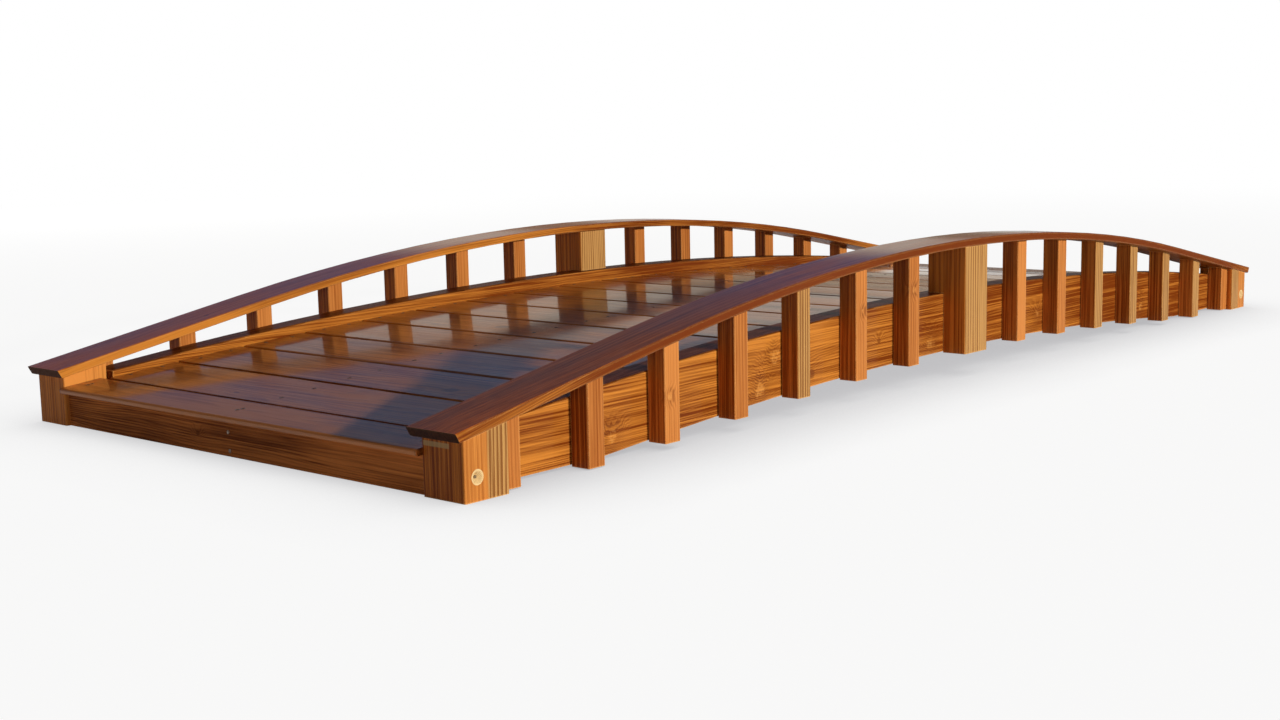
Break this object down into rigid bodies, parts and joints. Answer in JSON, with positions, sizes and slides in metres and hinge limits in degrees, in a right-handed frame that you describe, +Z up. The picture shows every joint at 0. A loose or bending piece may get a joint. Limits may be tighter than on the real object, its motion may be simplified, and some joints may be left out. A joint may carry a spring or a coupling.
{
  "type": "moon bridge",
  "caption": "Low arched garden foot bridge of stained timber, with a planked deck between kerb-like side stringers and bent handrails on posts and balusters.",
  "frame": {"origin": "on the ground, under the middle of the bridge", "axes": "+X along the walk, from the front end to the back end; +Y across it, to the left; +Z up"},
  "size_m": [2.9204, 1.161, 0.284],
  "materials": {
    "rail_wood": "gloss stain",
    "side_wood": "gloss stain",
    "deck_wood": "gloss stain",
    "frame_wood": "satin stain"
  },
  "bodies": {
    "root": {"back_header": "frame_wood", "back_left_balusters": "side_wood", "back_left_post": "side_wood", "back_nosing_board": "deck_wood", "back_right_balusters": "side_wood", "back_right_post": "side_wood", "centre_stringer": "frame_wood", "deck_board_01": "deck_wood", "deck_board_02": "deck_wood", "deck_board_03": "deck_wood", "deck_board_04": "deck_wood", "deck_board_05": "deck_wood", "deck_board_06": "deck_wood", "deck_board_07": "deck_wood", "deck_board_08": "deck_wood", "deck_board_09": "deck_wood", "deck_board_10": "deck_wood", "deck_board_11": "deck_wood", "deck_board_12": "deck_wood", "deck_board_13": "deck_wood", "deck_board_14": "deck_wood", "deck_board_15": "deck_wood", "deck_board_16": "deck_wood", "deck_board_17": "deck_wood", "deck_board_18": "deck_wood", "front_header": "frame_wood", "front_left_balusters": "side_wood", "front_left_post": "side_wood", "front_nosing_board": "deck_wood", "front_right_balusters": "side_wood", "front_right_post": "side_wood", "left_centre_post": "side_wood", "left_deck_cleat": "frame_wood", "left_handrail": "rail_wood", "left_stringer": "side_wood", "right_centre_post": "side_wood", "right_deck_cleat": "frame_wood", "right_handrail": "rail_wood", "right_stringer": "side_wood"}
  },
  "joints": []
}
